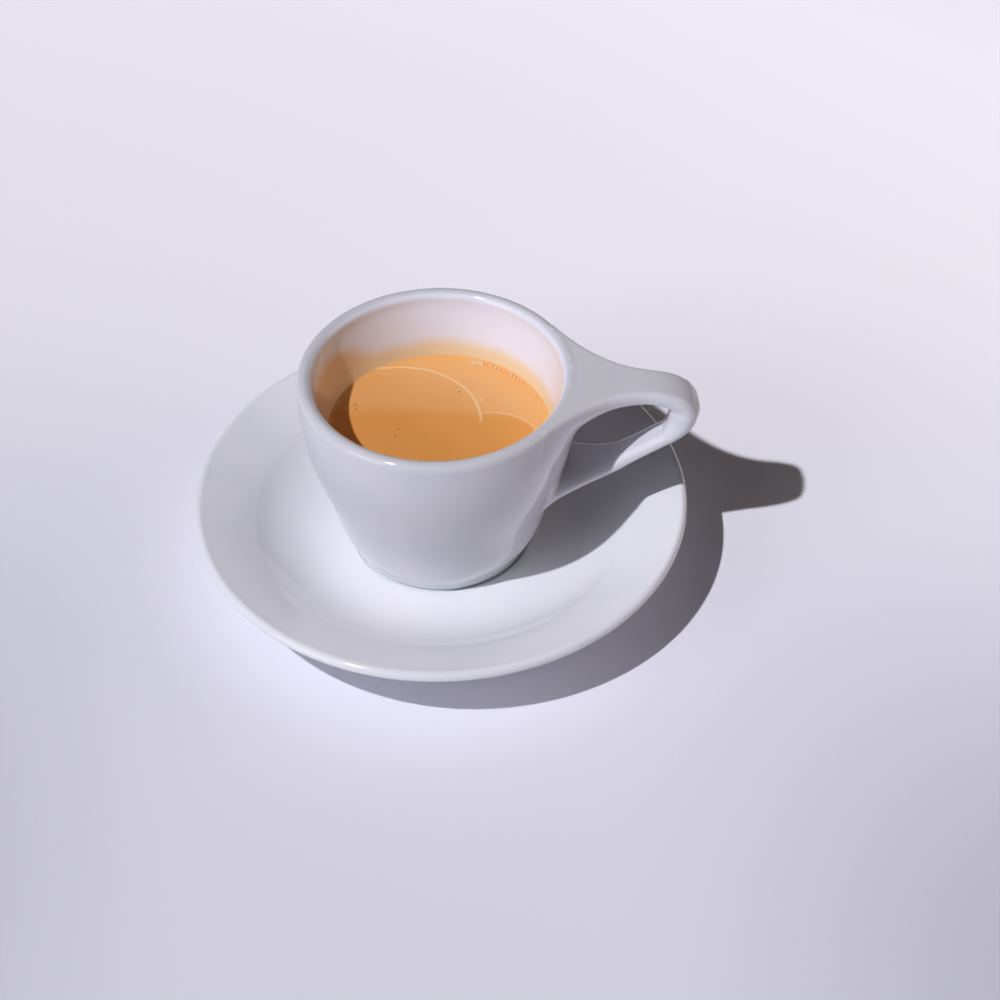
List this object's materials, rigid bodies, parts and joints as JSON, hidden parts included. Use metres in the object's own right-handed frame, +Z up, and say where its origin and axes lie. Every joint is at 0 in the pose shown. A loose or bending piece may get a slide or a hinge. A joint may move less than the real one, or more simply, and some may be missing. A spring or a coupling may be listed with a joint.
{
  "type": "espresso shot",
  "caption": "Espresso with a smooth crema in a small white porcelain cup with a looped band handle, standing in its round saucer.",
  "frame": {"origin": "on the table, under the middle of the saucer", "axes": "+Z up; +X from the middle of the cup out along its handle"},
  "size_m": [0.121, 0.12, 0.0571],
  "materials": {
    "saucer_glaze": "clear gloss glaze over white porcelain",
    "cup_glaze": "clear gloss glaze over white porcelain",
    "crema": "smooth wet crema, tan with darker and lighter swirls"
  },
  "bodies": {
    "root": {"saucer": "saucer_glaze", "cup": "cup_glaze", "espresso": "crema"}
  },
  "joints": []
}
